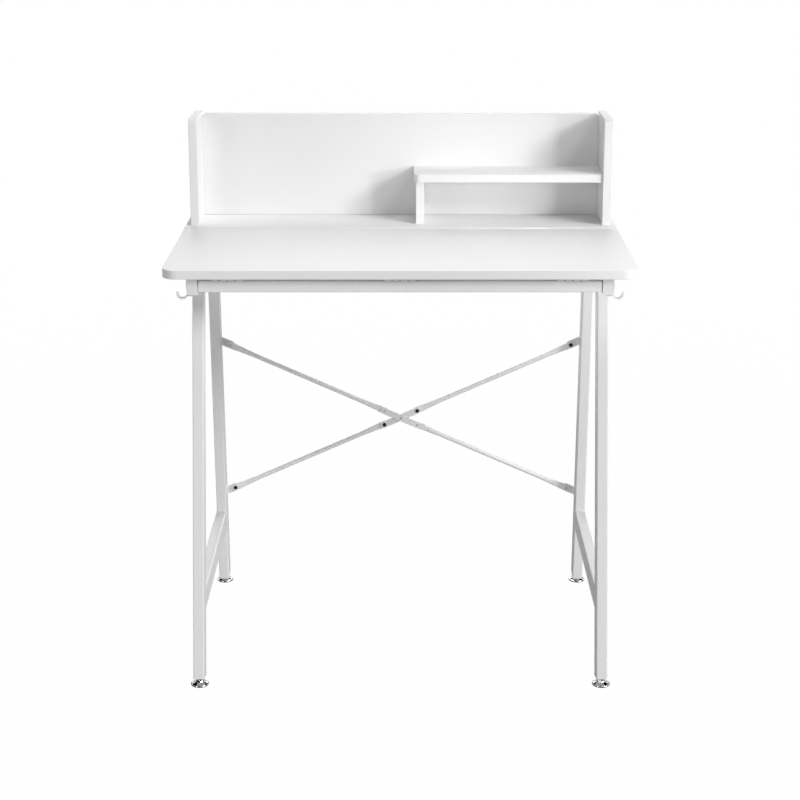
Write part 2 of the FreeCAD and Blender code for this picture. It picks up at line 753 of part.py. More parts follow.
brace_lean = math.degrees(math.atan(rear_splay))
brace_angle = math.degrees(math.atan(brace_hole_rise / brace_hole_x))
hole_reach = math.hypot(brace_hole_x, brace_hole_rise)
back_strap_y = strip
arm_a_y = strip * 2
arm_b_y = strip
tab_a_y = arm_a_y + arm_flat
tab_b_y = arm_b_y + arm_flat
brace_y = rear_leg_y(brace_centre) + rear_run / 2 + brace_set


def lean(shape):
    shape = shape.copy()
    shape.rotate(ORIGIN, X_AXIS, brace_lean)
    shape.translate(V(0, brace_y, brace_centre))
    return shape


def strip_along(x0, x1, width, y0, thickness):
    # A flat strip along X with rounded ends, lying in the XZ plane.
    half = width / 2
    bar_part = box(x0 + half, x1 - half, y0, y0 + thickness, -half, half)
    for x in (x0 + half, x1 - half):
        bar_part = bar_part.fuse(rod(V(x, y0, 0), Y_AXIS, half, thickness))
    return bar_part.removeSplitter()


def swing(shape, angle):
    shape = shape.copy()
    shape.rotate(ORIGIN, Y_AXIS, angle)
    return shape


def oval(x, half_y, half_z, mid_y):
    curve = Part.Ellipse(V(x, mid_y, half_z), V(x, mid_y + half_y, 0), V(x, mid_y, 0))
    return Part.Wire(curve.toShape())


def brace_arm(y0):
    # A round arm along +X whose ends are flattened and rounded.
    mid = y0 + arm_flat / 2
    inner_tip, outer_tip = strap_hole - arm_tip, hole_reach + arm_tip
    inner_flat, outer_flat = inner_tip + arm_end, outer_tip - arm_end
    inner = strip_along(inner_tip, inner_flat + strip_width / 2, strip_width, y0, arm_flat)
    outer = strip_along(outer_flat - strip_width / 2, outer_tip, strip_width, y0, arm_flat)
    ovals = [oval(inner_flat, arm_flat / 2, strip_width / 2, mid),
             oval(inner_flat + arm_taper, arm_radius, arm_radius, mid),
             oval(outer_flat - arm_taper, arm_radius, arm_radius, mid),
             oval(outer_flat, arm_flat / 2, strip_width / 2, mid)]
    body = Part.makeLoft(ovals, True, True)
    arm_shape = body.fuse(inner).fuse(outer)
    for x in (strap_hole, hole_reach):
        arm_shape = arm_shape.cut(rod(V(x, y0 - arm_radius, 0), Y_AXIS, screw_radius + hole_clearance,
                                      arm_radius * 4))
    return arm_shape


def holed_strap(y0):
    strap = strip_along(-strap_hole - arm_tip, strap_hole + arm_tip, strip_width, y0, strip)
    for x in (-strap_hole, strap_hole):
        strap = strap.cut(rod(V(x, y0, 0), Y_AXIS, screw_radius + hole_clearance, strip))
    return strap.cut(rod(V(0, y0, 0), Y_AXIS, rivet_radius + hole_clearance, strip))


def tab_part(y0):
    # A tab along the arm, welded to the leg's inner face and drilled for the arm.
    width = tab_width
    reach = math.hypot(tube_in, tube_in * brace_hole_rise / brace_hole_x)
    tab = strip_along(hole_reach - tab_tip, reach + width, width, y0, strip)
    return tab.cut(rod(V(hole_reach, y0, 0), Y_AXIS, screw_radius + hole_clearance, strip))


down = brace_angle
up = -brace_angle
# Diagonal A rises to the right and shows its screw heads; diagonal B crosses in front of it.
arm_a = brace_arm(arm_a_y)
arm_b = brace_arm(arm_b_y)
save("brace_arm_upper_right", lean(swing(arm_a, up)))
save("brace_arm_lower_left", lean(mirrored(swing(arm_a, down))))
save("brace_arm_upper_left", lean(mirrored(swing(arm_b, up))))
save("brace_arm_lower_right", lean(swing(arm_b, down)))
save("brace_strap_rising", lean(swing(holed_strap(back_strap_y), up)))
save("brace_strap_falling", lean(swing(holed_strap(0), down)))

beyond_leg = box(tube_in, desk_width, -desk_width, desk_width, -desk_width, desk_width)
tab_a = tab_part(tab_a_y)
tab_b = tab_part(tab_b_y)
right_tabs = [lean(swing(tab_a, up).cut(beyond_leg)), lean(swing(tab_b, down).cut(beyond_leg))]
left_tabs = [mirrored(lean(swing(tab_b, up).cut(beyond_leg))),
             mirrored(lean(swing(tab_a, down).cut(beyond_leg)))]
save("rear_leg_right", rear_leg.fuse(right_tabs[0]).fuse(right_tabs[1]).removeSplitter())
save("rear_leg_left", mirrored(rear_leg).fuse(left_tabs[0]).fuse(left_tabs[1]).removeSplitter())

# Brace screws: A heads face the front, B heads face the back, with a rivet in the middle
brace_screws = []
BACK = V(0, -1, 0)
for angle, flip in ((up, False), (down, True)):
    outer = headed(V(hole_reach, arm_a_y, 0), Y_AXIS, screw_head_radius, screw_head, screw_radius,
                   arm_flat + strip + screw_head)
    inner = headed(V(strap_hole, back_strap_y, 0), Y_AXIS, screw_head_radius, screw_head, screw_radius,
                   arm_flat + strip + screw_head)
    for item in (outer, inner):
        turned = swing(item, angle)
        brace_screws.append(lean(mirrored(turned) if flip else turned))
for angle, flip in ((down, False), (up, True)):
    outer = headed(V(hole_reach, tab_b_y + strip, 0), BACK, screw_head_radius, screw_head, screw_radius,
                   arm_flat + strip)
    inner = headed(V(strap_hole, arm_b_y + arm_flat, 0), BACK, screw_head_radius, screw_head, screw_radius,
                   arm_flat + strip)
    for item in (outer, inner):
        turned = swing(item, angle)
        brace_screws.append(lean(mirrored(turned) if flip else turned))
rivet = headed(V(0, strip * 2, 0), BACK, screw_head_radius, screw_head, rivet_radius, strip * 2)
brace_screws.append(lean(rivet))
save("brace_screws", *brace_screws)

# Levelling feet


def levelling_foot(x, y):
    disc = Part.makeCylinder(foot_radius, foot_rim, V(x, y, 0))
    disc = disc.makeFillet(edge_round, [e for e in disc.Edges if abs(e.CenterOfMass.z - foot_rim) < fit_gap])
    cone = Part.makeCone(foot_radius - edge_round, foot_collar_radius, foot_cone_top - foot_rim,
                         V(x, y, foot_rim))
    corner = foot_hex_across / 2 / math.cos(math.pi / 6)
    hexagon = [V(x + corner * math.cos(math.pi / 3 * k), y + corner * math.sin(math.pi / 3 * k), foot_cone_top)
               for k in range(7)]
    nut = Part.Face(Part.makePolygon(hexagon)).extrude(V(0, 0, foot_hex_top - foot_cone_top))
    stud = Part.makeCylinder(stud_radius, stud_top - foot_hex_top, V(x, y, foot_hex_top))
    return disc.fuse(cone).fuse(nut).fuse(stud).removeSplitter()


save("foot_front_right", levelling_foot(frame_x, front_foot_y))
save("foot_front_left", levelling_foot(-frame_x, front_foot_y))
save("foot_rear_right", levelling_foot(frame_x, rear_foot_y))
save("foot_rear_left", levelling_foot(-frame_x, rear_foot_y))

print(len(written), "pieces", "shift", round(frame_shift, 3))
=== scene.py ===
# %% [markdown]
# # A white writing desk with a tilting top
#
# The desk has a wide front board that tilts on three small hinges, a narrow fixed board behind it, and a low
# hutch with one small shelf. Two side frames of white steel tube carry it on four bright levelling feet.
# Every part with a real size comes in ready made, in metres. These cells give it a camera, light and finishes,
# and model the small hardware that a plain solid can't show.

# %% Load the desk
import math
import bmesh
import bpy
from mathutils import Matrix, Vector


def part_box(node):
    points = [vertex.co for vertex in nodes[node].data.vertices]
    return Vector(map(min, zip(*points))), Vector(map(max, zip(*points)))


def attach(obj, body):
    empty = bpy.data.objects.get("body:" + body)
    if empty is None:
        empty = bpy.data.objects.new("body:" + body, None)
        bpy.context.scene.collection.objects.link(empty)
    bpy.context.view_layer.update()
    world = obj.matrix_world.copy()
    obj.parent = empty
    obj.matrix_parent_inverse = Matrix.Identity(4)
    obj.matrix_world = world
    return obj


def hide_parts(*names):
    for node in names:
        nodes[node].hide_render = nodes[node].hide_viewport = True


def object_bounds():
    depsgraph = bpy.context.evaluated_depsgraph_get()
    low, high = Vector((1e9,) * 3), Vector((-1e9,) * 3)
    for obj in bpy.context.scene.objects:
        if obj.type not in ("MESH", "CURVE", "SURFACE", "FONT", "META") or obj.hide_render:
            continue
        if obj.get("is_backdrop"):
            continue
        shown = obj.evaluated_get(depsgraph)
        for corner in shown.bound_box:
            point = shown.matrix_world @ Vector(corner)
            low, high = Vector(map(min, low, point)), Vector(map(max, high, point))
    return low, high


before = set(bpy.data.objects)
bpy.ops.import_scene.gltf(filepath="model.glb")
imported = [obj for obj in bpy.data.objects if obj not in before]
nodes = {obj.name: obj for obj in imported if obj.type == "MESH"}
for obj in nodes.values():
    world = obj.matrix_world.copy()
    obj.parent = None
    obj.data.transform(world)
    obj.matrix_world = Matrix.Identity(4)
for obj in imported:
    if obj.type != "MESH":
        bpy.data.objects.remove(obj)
solid_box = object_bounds()
MM = 0.001
print("pieces loaded:", len(nodes))
print("size in metres:", [round(v, 4) for v in solid_box[1] - solid_box[0]])

# %% [markdown]
# ## The camera
#
# The picture looks down on the desk by about 14 degrees from nearly straight ahead. Its vanishing lines give
# the distance and the focal length. The small shift keeps the desk where it stands in the frame, which turning
# the camera would not do without leaning the legs.

# %% Place the camera
camera = bpy.data.objects.new("camera", bpy.data.cameras.new("camera"))
bpy.context.scene.collection.objects.link(camera)
camera.data.sensor_width = 36
camera.data.lens = 81.729
camera.data.shift_x = -0.0059
camera.data.shift_y = -0.12
camera.location = (0.00808, -3.35766, 1.51214)
camera.rotation_euler = (math.radians(75.7479), 0, 0)
bpy.context.scene.camera = camera
bpy.context.scene.view_settings.view_transform = "Standard"
print("camera height:", round(camera.location.z, 3), "lens:", camera.data.lens)

# %% [markdown]
# ## Node arithmetic
#
# A material's numbers are easier to read as a formula than as a row of boxes. This class wraps one output of a
# node, so that plus, minus and times on it add a Math node each. Its one method for other nodes sets the node's
# own options first and then fills its sockets with numbers or links.

# %% A socket that takes part in arithmetic
class Wire:
    def __init__(self, tree, socket):
        self.tree = tree
        self.socket = socket

    def node(self, kind, settings=None, sockets=None, output=0):
        made = self.tree.nodes.new(kind)
        for name, value in (settings or {}).items():
            setattr(made, name, value)
        for name, value in (sockets or {}).items():
            if isinstance(value, Wire):
                self.tree.links.new(value.socket, made.inputs[name])
            else:
                made.inputs[name].default_value = value
        return Wire(self.tree, made.outputs[output])

    def sum_of(self, operation, first, second=0.0):
        return self.node("ShaderNodeMath", {"operation": operation}, {0: first, 1: second})

    def __add__(self, other):
        return self.sum_of("ADD", self, other)

    def __radd__(self, other):
        return self.sum_of("ADD", other, self)

    def __sub__(self, other):
        return self.sum_of("SUBTRACT", self, other)

    def __rsub__(self, other):
        return self.sum_of("SUBTRACT", other, self)

    def __mul__(self, other):
        return self.sum_of("MULTIPLY", self, other)

    def __abs__(self):
        return self.sum_of("ABSOLUTE", self)

    def root(self):
        return self.sum_of("SQRT", self)

    def lesser(self, other):
        return self.sum_of("MINIMUM", self, other)

    def axis(self, letter):
        return self.node("ShaderNodeSeparateXYZ", {}, {"Vector": self}, letter)

    def steps(self, low, high):
        return self.node("ShaderNodeMapRange", {"interpolation_type": "SMOOTHSTEP"},
                         {"Value": self, "From Min": low, "From Max": high})


def new_finish(name, metallic=0.0, **fixed):
    material = bpy.data.materials.new(name)
    material.use_nodes = True
    tree = material.node_tree
    shader = tree.nodes["Principled BSDF"]
    shader.inputs["Metallic"].default_value = metallic
    for label, value in fixed.items():
        shader.inputs[label.replace("_", " ")].default_value = value
    start = Wire(tree, shader.outputs[0])
    place = start.node("ShaderNodeTexCoord", output="Object")
    return material, shader, place


def feed(shader, label, wire):
    wire.tree.links.new(wire.socket, shader.inputs[label])


def noise(place, scale, detail=2.0, roughness=0.5):
    return place.node("ShaderNodeTexNoise", {},
                      {"Vector": place, "Scale": scale, "Detail": detail, "Roughness": roughness}, "Fac")


def tint(place, factor, first, second):
    # Goes from the first colour to the second. Each is a wire or three numbers.
    first, second = (colour if isinstance(colour, Wire) else (*colour, 1) for colour in (first, second))
    return place.node("ShaderNodeMix", {"data_type": "RGBA"}, {0: factor, 6: first, 7: second}, 2)


def bump(place, height, strength, distance):
    return place.node("ShaderNodeBump", {}, {"Height": height, "Strength": strength, "Distance": distance},
                      "Normal")


print("helpers ready")

# %% [markdown]
# ## The white boards
#
# The boards are chipboard faced with white melamine, with an edge band glued round them. The face has a fine
# pebbled print that breaks up the shine, and the band meets it in a hairline. The line is drawn where the
# rounded edge turns from the face to the band, so it follows every corner. It needs to know which way the board
# is thick, so the finish is made once for each of the three directions. Where the band looks up, as over the
# tops of the upright boards, painted shade makes it greyer. Along the back panel's foot, where it stands on the
# board, a hairline of painted shade is drawn.

# %% Melamine board
BOARD_WHITE = (0.87, 0.87, 0.868)
BAND_WHITE = (0.89, 0.89, 0.885)
# Grey of the painted shade on band faces that look up.
BAND_TOP_SHADE = (0.73, 0.735, 0.735)
CLOUD_WHITE = (0.857, 0.86, 0.859)
GLUE_LINE = (0.66, 0.655, 0.64)
# Grey of the painted shade hairline along the back panel's foot.
PAINTED_FOOT_SHADE = (0.3, 0.3, 0.3)


def melamine(name, thick_axis):
    material, shader, place = new_finish(name, IOR=1.48)
    normal = place.node("ShaderNodeTexCoord", output="Normal")
    facing = abs(normal.axis(thick_axis))
    face = facing.steps(0.55, 0.85)
    line = facing.steps(0.5, 0.62) * (1 - facing.steps(0.68, 0.8))
    cloud = noise(place, 9, 3)
    pebble = noise(place, 1400, 2)
    print_grain = noise(place, 420, 3, 0.6)
    # Painted shade: band faces that look up turn greyer, as if less light reached them.
    band_tone_and_top_shade = tint(place, normal.axis("Z").steps(0.6, 0.9), BAND_WHITE, BAND_TOP_SHADE)
    base = tint(place, face, band_tone_and_top_shade, BOARD_WHITE)
    shaded = tint(place, cloud.steps(0.35, 0.8) * 0.35, base, CLOUD_WHITE)
    colour = tint(place, line * 0.55, shaded, GLUE_LINE)
    if thick_axis == "Y":
        # Painted shade: the lowest millimetre or so of the back panel is darkened, where it stands on the
        # board.
        above_foot = place.axis("Z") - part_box("hutch_back_panel")[0].z
        painted_foot_shade = 1 - above_foot.steps(0.8 * MM, 1.8 * MM)
        colour = tint(place, painted_foot_shade * 0.35, colour, PAINTED_FOOT_SHADE)
    feed(shader, "Base Color", colour)
    feed(shader, "Roughness", 0.42 + print_grain * 0.12 + cloud * 0.05)
    feed(shader, "Normal", bump(place, pebble * 0.6 + print_grain * 0.4, 0.1, 0.0003))
    return material


board_finish = {"Z": melamine("melamine_level", "Z"), "X": melamine("melamine_upright", "X"),
                "Y": melamine("melamine_back", "Y")}


def dress(name, material):
    node = nodes[name]
    node.data.materials.clear()
    node.data.materials.append(material)


board_nodes = {"Z": ("desktop_board", "rear_board", "hutch_shelf"),
               "X": ("hutch_left_panel", "hutch_right_panel", "hutch_divider"),
               "Y": ("hutch_back_panel",)}
for direction, names in board_nodes.items():
    for name in names:
        dress(name, board_finish[direction])
print("boards:", sum(len(names) for names in board_nodes.values()))

# %% [markdown]
# ## The powder-coated frame
#
# Tubes, rails, straps and hooks are sprayed with white powder and baked. The coat flows into soft dimples like
# orange peel, a few millimetres apart, with much finer dust on top. Two noises of different size make that
# surface, and the coat is a shade greyer than the boards. On the thin brace and the hooks it lies smoother.

# %% Powder coat
POWDER_WHITE = (0.88, 0.882, 0.885)
POWDER_SHADE = (0.84, 0.843, 0.85)


def powder_coat(name, peeled=True):
    material, shader, place = new_finish(name, IOR=1.5, Coat_Roughness=0.3)
    peel = noise(place, 260, 2)
    dust = noise(place, 1800, 2)
    patch = noise(place, 14, 3)
    feed(shader, "Base Color", tint(place, patch.steps(0.4, 0.8) * 0.5, POWDER_WHITE, POWDER_SHADE))
    feed(shader, "Roughness", 0.36 + dust * 0.1 + patch * 0.06)
    if peeled:
        feed(shader, "Coat Weight", 0.12 + patch * 0.1)
        feed(shader, "Normal", bump(place, peel * 0.85 + dust * 0.15, 0.14, 0.0004))
    return material


steel_finish = powder_coat("white_powder_coat")
thin_finish = powder_coat("thin_powder_coat", peeled=False)
steel_nodes = [name for name in nodes if name.startswith(
    ("front_leg", "rear_leg", "side_rail_left", "side_rail_right", "stretcher", "front_rail", "rear_rail",
     "brace_arm", "brace_strap", "hook_left", "hook_right", "rack_left", "rack_right"))]
for name in steel_nodes:
    dress(name, thin_finish if name.startswith(("brace_", "hook_")) else steel_finish)
print("powder-coated pieces:", len(steel_nodes))

# %% [markdown]
# ## White plastic
#
# The caps that close the tubes, the plugs in the legs and the little covers over the screws are moulded
# plastic. It is a touch warmer than the paint, with a fine, even, spark-eroded grain and faint clouds where it
# flowed.

# %% Moulded plastic
def moulded_plastic(name):
    material, shader, place = new_finish(name, IOR=1.46)
    grain = noise(place, 2400, 1)
    flow = noise(place, 30, 2)
    feed(shader, "Base Color", tint(place, flow * 0.5, (0.85, 0.85, 0.845), (0.81, 0.81, 0.805)))
    feed(shader, "Roughness", 0.46 + grain * 0.12)
    feed(shader, "Normal", bump(place, grain, 0.2, 0.0002))
    return material


plastic_finish = moulded_plastic("white_moulded_plastic")
plastic_nodes = [name for name in nodes if "cap" in name or "leg_plug" in name]
for name in plastic_nodes:
    dress(name, plastic_finish)
print("plastic pieces:", plastic_nodes)

# %% [markdown]
# ## Plated hardware
#
# Hinge pins, the wire prop, its saddles and most screws are bright zinc on steel. Zinc plate is a pale grey
# metal with faint drawing lines from the mill and cloudy patches in its shine. Long noise, stretched along X,
# gives the lines.

# %% Zinc plate
def zinc_plate(name):
    material, shader, place = new_finish(name, metallic=1.0)
    stretched = place.node("ShaderNodeMapping", {}, {"Vector": place, "Scale": (40, 900, 900)})
    lines = noise(stretched, 1, 2)
    patch = noise(place, 120, 3)
    feed(shader, "Base Color", tint(place, patch, (0.78, 0.78, 0.79), (0.66, 0.665, 0.68)))
    feed(shader, "Roughness", 0.24 + patch * 0.16 + lines * 0.08)
    feed(shader, "Normal", bump(place, lines, 0.12, 0.0002))
    return material


zinc_finish = zinc_plate("zinc_plate")
zinc_nodes = [name for name in nodes if name.startswith((
    "hinge_pins", "hinge_desktop_screws", "hinge_rail_screws", "prop", "rear_board_screws", "hutch_base_screws",
    "rack_screws", "hook_screws", "frame_bolts"))]
for name in zinc_nodes:
    dress(name, zinc_finish)
print("plated pieces:", len(zinc_nodes))

# %% [markdown]
# ## Hinge leaves
#
# The hinge leaves have a dull, pale zinc coat, and the knuckles show as light beads with dark divisions. The
# ends of rolled knuckles are rounded; shade falls between them and old grease sits there, so the divisions look
# wider than the gaps are. The finish paints that shade and grease as a dark ring at each end, found from its
# distance along the pin and round it.

# %% Dull zinc with grease and painted shade at the knuckle ends
# Dark tone of the grease and painted shade in the knuckle divisions.
GREASE_AND_SHADE = (0.06, 0.06, 0.065)
GREASE_AND_SHADE_REACH = (0.5 * MM, 1.3 * MM)
KNUCKLE_RADIUS = (3.2 * MM, 4.0 * MM)


def hinge_coat(name):
    material, shader, place = new_finish(name, metallic=0.3, IOR=1.5)
    low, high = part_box("hinge_desktop_leaf_right")
    pin_low, pin_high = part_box("hinge_pins")
    spacing = (low.x + high.x) / 2
    knuckle = (high.x - low.x) / 4
    sideways = abs(place.axis("X"))
    from_hinge = sideways.lesser(abs(sideways - spacing))
    from_end = from_hinge.lesser(abs(from_hinge - knuckle))
    away = place.axis("Y") - (pin_low.y + pin_high.y) / 2
    above = place.axis("Z") - (pin_low.z + pin_high.z) / 2
    from_pin = (away * away + above * above).root()
    # Grease and painted shade: a dark ring at each knuckle end, where shade falls between the knuckles.
    grease_and_shade = (1 - from_end.steps(*GREASE_AND_SHADE_REACH)) * (1 - from_pin.steps(*KNUCKLE_RADIUS))
    patch = noise(place, 160, 3)
    clean = tint(place, patch, (0.84, 0.84, 0.85), (0.76, 0.765, 0.775))
    feed(shader, "Base Color", tint(place, grease_and_shade * 0.85, clean, GREASE_AND_SHADE))
    feed(shader, "Roughness", 0.42 + patch * 0.12 + grease_and_shade * 0.2)
    feed(shader, "Normal", bump(place, patch, 0.1, 0.0002))
    return material


hinge_finish = hinge_coat("dull_zinc")
hinge_leaves = [name for name in nodes if name.startswith("hinge_") and "leaf" in name]
for name in hinge_leaves:
    dress(name, hinge_finish)
print("hinge leaves:", len(hinge_leaves))

# %% [markdown]
# ## Black screws and bright feet
#
# The brace is screwed with small blackened screws, which read as dark dots on the white steel. Those that come
# from behind show only a bare bright tip, so the finish reads from each face whether it belongs to one of them.
# The levelling feet are chromed: a mirror with hardly any roughness, broken only by fine polishing marks.

# %% Black zinc and chrome
BARE_TIP = (0.62, 0.62, 0.63)


def blackened(name):
    material, shader, place = new_finish(name, metallic=0.6)
    patch = noise(place, 300, 3)
    pale = place.node("ShaderNodeAttribute", {"attribute_name": "pale"}, {}, "Fac")
    black = tint(place, patch, (0.03, 0.03, 0.034), (0.055, 0.055, 0.06))
    feed(shader, "Base Color", tint(place, pale, black, BARE_TIP))
    feed(shader, "Roughness", 0.34 + patch * 0.2)
    return material


def chrome_plate(name):
    material, shader, place = new_finish(name, metallic=1.0)
    polish = noise(place, 700, 2)
    feed(shader, "Base Color", tint(place, polish, (0.80, 0.80, 0.82), (0.74, 0.745, 0.77)))
    feed(shader, "Roughness", 0.06 + polish * 0.06)
    feed(shader, "Normal", bump(place, polish, 0.05, 0.0001))
    return material


black_finish = blackened("black_zinc")
chrome_finish = chrome_plate("chrome")
dress("brace_screws", black_finish)
for name in ("foot_front_left", "foot_front_right", "foot_rear_left", "foot_rear_right"):
    dress(name, chrome_finish)
print("black and chrome finishes ready")

# %% [markdown]
# ## From points to pieces
#
# The small hardware is modelled where the ready-made solids stand, so its places are read from them. A solid
# arrives as loose triangles; merging equal points and walking along the edges gives its separate bodies. A new
# piece is built in a bmesh, gets its finish, and takes the place of the plain solid.

# %% Reading a solid, keeping a piece
def islands(name):
    build = bmesh.new()
    build.from_mesh(nodes[name].data)
    bmesh.ops.remove_doubles(build, verts=build.verts, dist=0.00001)
    waiting = set(build.verts)
    found = []
    while waiting:
        group = [waiting.pop()]
        for vert in group:
            for edge in vert.link_edges:
                other = edge.other_vert(vert)
                if other in waiting:
                    waiting.remove(other)
                    group.append(other)
        found.append([vert.co.copy() for vert in group])
    build.free()
    return found


def furthest(name, direction):
    return max((vert.co for vert in nodes[name].data.vertices), key=lambda co: co.dot(Vector(direction))).copy()


def made_piece(name, build, materials, smooth=False):
    bmesh.ops.recalc_face_normals(build, faces=build.faces)
    mesh = bpy.data.meshes.new(name)
    build.to_mesh(mesh)
    build.free()
    for material in materials:
        mesh.materials.append(material)
    if smooth:
        mesh.shade_smooth()
        mesh.set_sharp_from_angle(angle=math.radians(32))
    piece = bpy.data.objects.new(name, mesh)
    bpy.context.scene.collection.objects.link(piece)
    return piece


def turned(build, outline, steps):
    # Spins an outline of (radius, height) points round Z into a closed shape.
    points = [build.verts.new((radius, 0, height)) for radius, height in outline]
    edges = [build.edges.new(pair) for pair in zip(points, points[1:])]
    bmesh.ops.spin(build, geom=points + edges, cent=(0, 0, 0), axis=(0, 0, 1), angle=math.tau, steps=steps,
                   use_merge=True)
    bmesh.ops.remove_doubles(build, verts=build.verts, dist=0.000001)


print("islands of brace_screws:", len(islands("brace_screws")))

# %% [markdown]
# ## The levelling feet
#
# Each foot is a chromed disc pressed from sheet, with a rolled rim and a dished top, a hexagon nut fixed to it,
# and a threaded stud that runs up into the plug of the leg. The disc is a lathe shape, so half its outline is
# spun round the stud. The thread is a small ridge spun many times round while it climbs by one pitch a turn.

# %% A levelling foot
PITCH = 1.5 * MM
THREAD_DEPTH = 0.55 * MM
STUD_RADIUS = 4.0 * MM
RIM = 3.0 * MM
COLLAR = 8.5 * MM
CONE_TOP = 6.5 * MM
NUT_TOP = 10.0 * MM
NUT_RADIUS = 6.8 * MM


def threads(build, radius, low, high):
    # One closed ridge that winds round the stud.
    turns = int((high - low) / PITCH) - 1
    steps = 20
    ring = [build.verts.new((radius - THREAD_DEPTH * 1.2, 0, low)),
            build.verts.new((radius, 0, low + PITCH * 0.42)),
            build.verts.new((radius, 0, low + PITCH * 0.58)),
            build.verts.new((radius - THREAD_DEPTH * 1.2, 0, low + PITCH))]
    first = build.faces.new(ring)
    bmesh.ops.spin(build, geom=[first], cent=(0, 0, 0), axis=(0, 0, 1), dvec=(0, 0, PITCH / steps),
                   angle=math.tau * turns, steps=steps * turns)


def disc_outline(radius):
    # From the middle of the underside out over the rolled rim and up the cone.
    return [(0, 0.4 * MM), (radius - 3.2 * MM, 0.4 * MM), (radius - 2.2 * MM, 0), (radius - 0.8 * MM, 0),
            (radius - 0.2 * MM, 0.5 * MM), (radius, RIM * 0.4), (radius - 0.1 * MM, RIM * 0.75),
            (radius - 0.6 * MM, RIM * 0.97), (radius - 1.3 * MM, RIM), (radius - 2.0 * MM, RIM * 0.93),
            (radius - 2.6 * MM, RIM * 1.02), (COLLAR + 2.6 * MM, RIM + 1.3 * MM),
            (COLLAR + 1.0 * MM, CONE_TOP - 0.9 * MM), (COLLAR + 0.2 * MM, CONE_TOP - 0.1 * MM),
            (COLLAR - 0.6 * MM, CONE_TOP + 0.1 * MM), (0, CONE_TOP + 0.1 * MM)]


def stud_outline(top):
    core = STUD_RADIUS - THREAD_DEPTH
    return [(0, CONE_TOP), (core, CONE_TOP), (core, top - 0.6 * MM), (STUD_RADIUS - 1.4 * MM, top), (0, top)]


def hexagon_nut(build):
    middle = Matrix.Translation((0, 0, (NUT_TOP + CONE_TOP) / 2))
    nut = bmesh.ops.create_cone(build, cap_ends=True, segments=6, radius1=NUT_RADIUS, radius2=NUT_RADIUS,
                                depth=NUT_TOP - CONE_TOP, matrix=middle)
    level = [edge for edge in {edge for vert in nut["verts"] for edge in vert.link_edges}
             if abs(edge.verts[0].co.z - edge.verts[1].co.z) < 0.1 * MM]
    bmesh.ops.bevel(build, geom=level, offset=0.7 * MM, segments=2, affect="EDGES", profile=0.5, material=-1)


def levelling_foot(name, node, body):
    low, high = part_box(node)
    centre = (low + high) / 2
    build = bmesh.new()
    turned(build, disc_outline((high.x - low.x) / 2), 72)
    hexagon_nut(build)
    turned(build, stud_outline(high.z), 32)
    threads(build, STUD_RADIUS, NUT_TOP + 0.3 * MM, high.z - 0.6 * MM)
    bmesh.ops.translate(build, verts=build.verts, vec=(centre.x, centre.y, 0))
    piece = made_piece(name, build, [chrome_finish], smooth=True)
    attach(piece, body)
    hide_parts(node)
    return piece


for end in ("front", "rear"):
    for side in ("left", "right"):
        foot = levelling_foot(f"levelling_foot_{end}_{side}", f"foot_{end}_{side}", f"{side}_{end}_foot")
print("faces in one foot:", len(foot.data.polygons))

# %% [markdown]
# ## Screws and bolts
#
# The brace is held by black pan-head screws, the frame by socket-head bolts, and the wood by cross-head screws
# from below. A head is a round disc whose middle face is cut into a cross or a hexagon by a few planes. The
# faces inside are pushed down for the driver's recess, and the rim is drawn out and down into the dome and the
# shank.

# %% Heads with a recess
FLAT_SHARE = 0.66
RECESS_DEPTH = 0.7
RECESS_TAPER = 0.86
DOME = ((0.86, 0.16), (0.97, 0.26), (1.0, 0.3), (0.97, 0.28))


def cut_recess(build, planes, inside, depth):
    for normal, distance in planes:
        geom = build.verts[:] + build.edges[:] + build.faces[:]
        bmesh.ops.bisect_plane(build, geom=geom, dist=0.0000001, plane_no=normal,
                               plane_co=Vector(normal) * distance)
    sunk = [face for face in build.faces if inside(face.calc_center_median())]
    raised = bmesh.ops.extrude_face_region(build, geom=sunk)["geom"]
    floor_verts = [item for item in raised if isinstance(item, bmesh.types.BMVert)]
    bmesh.ops.delete(build, geom=[face for face in sunk if face.is_valid], context="FACES")
    bmesh.ops.translate(build, verts=floor_verts, vec=(0, 0, -depth))
    bmesh.ops.scale(build, verts=floor_verts, vec=(RECESS_TAPER, RECESS_TAPER, 1))


def cross_recess(build, radius, depth):
    slot = radius * 0.22
    reach = radius * 0.78
    planes = [(normal, distance) for normal in ((1, 0, 0), (0, 1, 0))
              for distance in (-reach, -slot, slot, reach)]

    def inside(spot):
        narrow, long = sorted((abs(spot.x), abs(spot.y)))
        return narrow < slot and long < reach
    cut_recess(build, planes, inside, depth)


def hexagon_recess(build, radius, depth):
    across = radius * 0.72
    normals = [Vector((math.cos(math.pi / 3 * turn), math.sin(math.pi / 3 * turn), 0)) for turn in range(6)]
    cut_recess(build, [(normal, across) for normal in normals],
               lambda spot: all(spot.dot(normal) < across for normal in normals), depth)


def drawn(build, edges, scale, drop):
    # Draws the open rim inwards or outwards and down, and returns the new rim.
    geom = bmesh.ops.extrude_edge_only(build, edges=edges)["geom"]
    verts = [item for item in geom if isinstance(item, bmesh.types.BMVert)]
    bmesh.ops.scale(build, verts=verts, vec=(scale, scale, 1))
    bmesh.ops.translate(build, verts=verts, vec=(0, 0, -drop))
    return [item for item in geom if isinstance(item, bmesh.types.BMEdge) and item.is_boundary]


def screw(radius, head, shank, length, recess):
    # A screw with its seat at the origin and its head towards +Z.
    build = bmesh.new()
    flat = radius * FLAT_SHARE
    bmesh.ops.create_circle(build, cap_ends=True, segments=24, radius=flat,
                            matrix=Matrix.Translation((0, 0, head)))
    recess(build, flat, head * RECESS_DEPTH)
    rim = [edge for edge in build.edges if edge.is_boundary]
    wide = flat
    for share, part in DOME:
        rim = drawn(build, rim, radius * share / wide, head * part)
        wide = radius * share
    rim = drawn(build, rim, shank / wide, 0)
    rim = drawn(build, rim, 1, length)
    bmesh.ops.edgeloop_fill(build, edges=rim)
    return build


print("screw tools ready")

